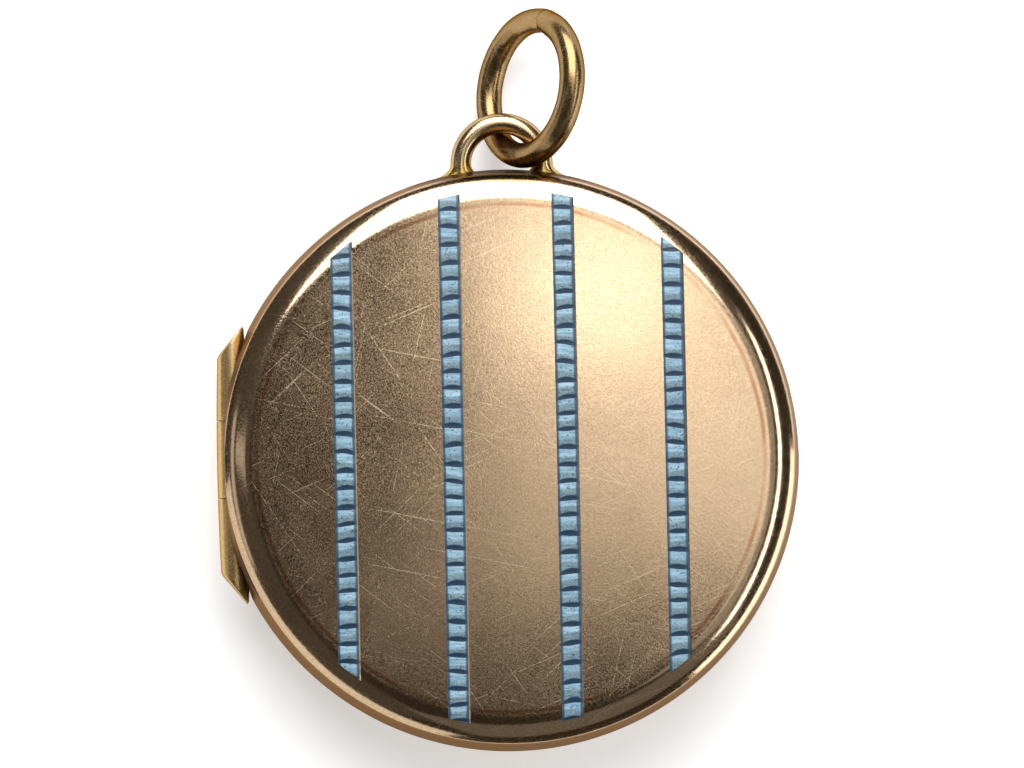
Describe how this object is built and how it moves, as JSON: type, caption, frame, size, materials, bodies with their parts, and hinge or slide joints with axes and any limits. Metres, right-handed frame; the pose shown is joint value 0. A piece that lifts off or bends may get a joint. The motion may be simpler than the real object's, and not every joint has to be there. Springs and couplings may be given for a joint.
{
  "type": "locket",
  "caption": "Round hinged gold locket with blue enamel stripes inlaid across its front, a wire bail and a jump ring, opening to framed photo recesses.",
  "frame": {"origin": "centre of the back cover's flat face, on the surface that the locket lies on", "axes": "+Z out of the front face, +Y towards the bail and jump ring, +X away from the hinge"},
  "size_m": [0.027, 0.0345, 0.0064],
  "materials": {
    "gold_case": "rose-yellow gold, satin from wear, finely scratched",
    "gold_wire": "yellow gold wire, worn and slightly darkened",
    "gold_inside": "yellow gold, smooth, little worn",
    "blue_enamel": "translucent blue vitreous enamel over a cut ladder ground",
    "clear_window": "thin clear sheet",
    "blank_card": "plain aged card, blank"
  },
  "bodies": {
    "back_half": {"back_cover": "gold_case", "back_rim_ring": "gold_inside", "back_photo_frame": "gold_inside", "back_window": "clear_window", "back_photo_card": "blank_card", "hinge_knuckle_upper": "gold_case", "hinge_knuckle_lower": "gold_case", "hinge_pin": "gold_case", "bail_loop": "gold_wire"},
    "front_half": {"front_cover": "gold_case", "front_rim_ring": "gold_inside", "front_photo_frame": "gold_inside", "front_window": "clear_window", "front_photo_card": "blank_card", "enamel_stripe_outer_left": "blue_enamel", "enamel_stripe_inner_left": "blue_enamel", "enamel_stripe_inner_right": "blue_enamel", "enamel_stripe_outer_right": "blue_enamel", "hinge_knuckle_middle": "gold_case"},
    "jump_ring": {"jump_ring": "gold_wire"}
  },
  "joints": [
    {"name": "lid_hinge", "type": "hinge", "parent": "back_half", "child": "front_half", "pos_m": [-0.01275, 0, 0.003], "axis": [0, -1, 0], "range_deg": [0, 150]},
    {"name": "ring_swing", "type": "hinge", "parent": "back_half", "child": "jump_ring", "pos_m": [0, 0.0157, 0.00246], "axis": [-1, 0, 0], "range_deg": [0, 75]}
  ]
}
